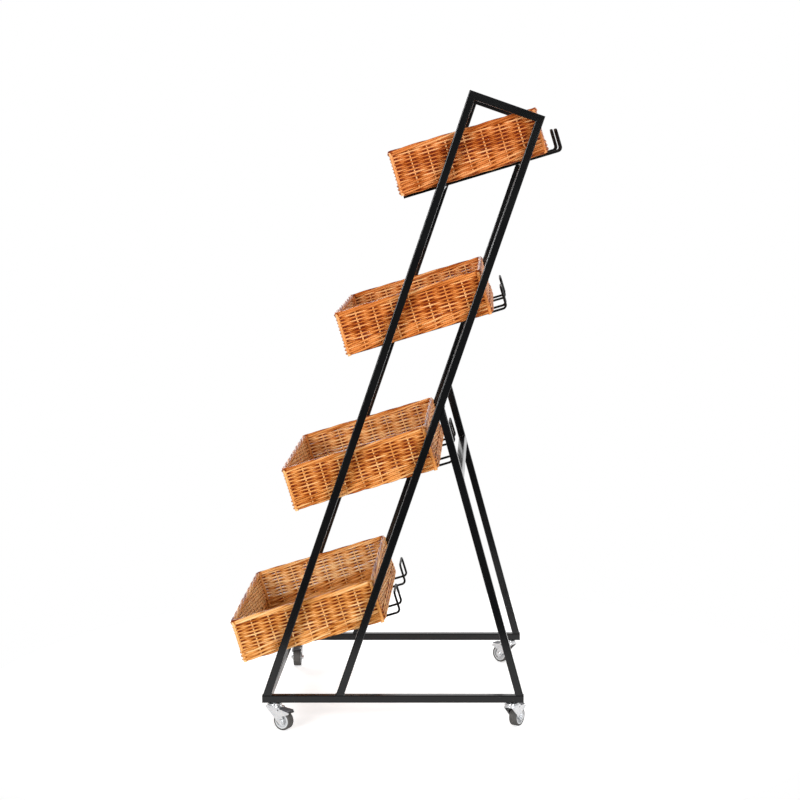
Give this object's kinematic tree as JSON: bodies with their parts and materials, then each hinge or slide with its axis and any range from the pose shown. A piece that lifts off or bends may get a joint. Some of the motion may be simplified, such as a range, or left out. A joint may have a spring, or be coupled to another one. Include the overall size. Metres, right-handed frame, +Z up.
{
  "type": "basket stand",
  "caption": "Leaning display stand of black square tube on braked swivel castors, with tilted wire shelves that carry open willow baskets for goods at a market stall.",
  "frame": {"origin": "on the floor under the middle of the stand's overall box", "axes": "+Z up, X across the stand, the front with the low baskets faces -Y"},
  "size_m": [0.7107, 0.8665, 1.6482],
  "materials": {
    "frame_paint": "satin black powder coat",
    "wire_paint": "satin black powder coat",
    "plug_plastic": "matt black moulded",
    "willow": "peeled and boiled willow rods, woven",
    "zinc_steel": "bright zinc plate",
    "hub_plastic": "pale grey moulded",
    "tyre_rubber": "grey non-marking rubber",
    "pedal_plastic": "dark grey moulded"
  },
  "bodies": {
    "frame": {"left_base_tube": "frame_paint", "left_front_upright": "frame_paint", "left_rear_upright": "frame_paint", "left_top_tube": "frame_paint", "left_rear_brace": "frame_paint", "right_base_tube": "frame_paint", "right_front_upright": "frame_paint", "right_rear_upright": "frame_paint", "right_top_tube": "frame_paint", "right_rear_brace": "frame_paint", "front_cross_tube": "frame_paint", "brace_cross_tube": "frame_paint", "base_end_plugs": "plug_plastic", "castor_weld_nuts": "zinc_steel", "tier_1_front_bar": "frame_paint", "tier_1_rear_bar": "frame_paint", "tier_1_left_wire_bracket": "wire_paint", "tier_1_right_wire_bracket": "wire_paint", "tier_2_front_bar": "frame_paint", "tier_2_rear_bar": "frame_paint", "tier_2_left_wire_bracket": "wire_paint", "tier_2_right_wire_bracket": "wire_paint", "tier_3_front_bar": "frame_paint", "tier_3_rear_bar": "frame_paint", "tier_3_left_wire_bracket": "wire_paint", "tier_3_right_wire_bracket": "wire_paint", "tier_4_front_bar": "frame_paint", "tier_4_rear_bar": "frame_paint", "tier_4_left_wire_bracket": "wire_paint", "tier_4_right_wire_bracket": "wire_paint", "front_right_castor_stem": "zinc_steel", "front_left_castor_stem": "zinc_steel", "rear_right_castor_stem": "zinc_steel", "rear_left_castor_stem": "zinc_steel"},
    "front_right_swivel": {"front_right_castor_fork": "zinc_steel", "front_right_castor_axle": "zinc_steel"},
    "front_right_wheel": {"front_right_castor_wheel": "hub_plastic", "front_right_castor_tyre": "tyre_rubber"},
    "front_right_brake": {"front_right_castor_pedal": "pedal_plastic"},
    "front_left_swivel": {"front_left_castor_fork": "zinc_steel", "front_left_castor_axle": "zinc_steel"},
    "front_left_wheel": {"front_left_castor_wheel": "hub_plastic", "front_left_castor_tyre": "tyre_rubber"},
    "front_left_brake": {"front_left_castor_pedal": "pedal_plastic"},
    "rear_right_swivel": {"rear_right_castor_fork": "zinc_steel", "rear_right_castor_axle": "zinc_steel"},
    "rear_right_wheel": {"rear_right_castor_wheel": "hub_plastic", "rear_right_castor_tyre": "tyre_rubber"},
    "rear_right_brake": {"rear_right_castor_pedal": "pedal_plastic"},
    "rear_left_swivel": {"rear_left_castor_fork": "zinc_steel", "rear_left_castor_axle": "zinc_steel"},
    "rear_left_wheel": {"rear_left_castor_wheel": "hub_plastic", "rear_left_castor_tyre": "tyre_rubber"},
    "rear_left_brake": {"rear_left_castor_pedal": "pedal_plastic"},
    "basket_1": {"tier_1_basket": "willow"},
    "basket_2": {"tier_2_basket": "willow"},
    "basket_3": {"tier_3_basket": "willow"},
    "basket_4": {"tier_4_basket": "willow"}
  },
  "joints": [
    {"name": "front_right_swivel_turn", "type": "hinge", "parent": "frame", "child": "front_right_swivel", "pos_m": [0.315, -0.315, 0.07], "axis": [0, 0, 1], "continuous": true},
    {"name": "front_right_wheel_roll", "type": "hinge", "parent": "front_right_swivel", "child": "front_right_wheel", "pos_m": [0.32858, -0.29051, 0.025], "axis": [0.8746, -0.4848, 0], "continuous": true},
    {"name": "front_right_brake_press", "type": "hinge", "parent": "front_right_swivel", "child": "front_right_brake", "pos_m": [0.32421, -0.29838, 0.054], "axis": [-0.8746, 0.4848, 0], "range_deg": [0, 15]},
    {"name": "front_left_swivel_turn", "type": "hinge", "parent": "frame", "child": "front_left_swivel", "pos_m": [-0.315, -0.315, 0.07], "axis": [0, 0, 1], "continuous": true},
    {"name": "front_left_wheel_roll", "type": "hinge", "parent": "front_left_swivel", "child": "front_left_wheel", "pos_m": [-0.287, -0.315, 0.025], "axis": [0, -1, 0], "continuous": true},
    {"name": "front_left_brake_press", "type": "hinge", "parent": "front_left_swivel", "child": "front_left_brake", "pos_m": [-0.296, -0.315, 0.054], "axis": [0, 1, 0], "range_deg": [0, 15]},
    {"name": "rear_right_swivel_turn", "type": "hinge", "parent": "frame", "child": "rear_right_swivel", "pos_m": [0.315, 0.305, 0.07], "axis": [0, 0, 1], "continuous": true},
    {"name": "rear_right_wheel_roll", "type": "hinge", "parent": "rear_right_swivel", "child": "rear_right_wheel", "pos_m": [0.29075, 0.319, 0.025], "axis": [0.5, 0.866, 0], "continuous": true},
    {"name": "rear_right_brake_press", "type": "hinge", "parent": "rear_right_swivel", "child": "rear_right_brake", "pos_m": [0.29855, 0.3145, 0.054], "axis": [-0.5, -0.866, 0], "range_deg": [0, 15]},
    {"name": "rear_left_swivel_turn", "type": "hinge", "parent": "frame", "child": "rear_left_swivel", "pos_m": [-0.315, 0.305, 0.07], "axis": [0, 0, 1], "continuous": true},
    {"name": "rear_left_wheel_roll", "type": "hinge", "parent": "rear_left_swivel", "child": "rear_left_wheel", "pos_m": [-0.33185, 0.28264, 0.025], "axis": [-0.7986, 0.6018, 0], "continuous": true},
    {"name": "rear_left_brake_press", "type": "hinge", "parent": "rear_left_swivel", "child": "rear_left_brake", "pos_m": [-0.32643, 0.28983, 0.054], "axis": [0.7986, -0.6018, 0], "range_deg": [0, 15]},
    {"name": "basket_1_lift", "type": "slide", "parent": "frame", "child": "basket_1", "axis": [0, -0.2857, 0.9583], "range_m": [0, 0.15]},
    {"name": "basket_2_lift", "type": "slide", "parent": "frame", "child": "basket_2", "axis": [0, -0.2857, 0.9583], "range_m": [0, 0.15]},
    {"name": "basket_3_lift", "type": "slide", "parent": "frame", "child": "basket_3", "axis": [0, -0.2857, 0.9583], "range_m": [0, 0.15]},
    {"name": "basket_4_lift", "type": "slide", "parent": "frame", "child": "basket_4", "axis": [0, -0.2857, 0.9583], "range_m": [0, 0.15]}
  ]
}
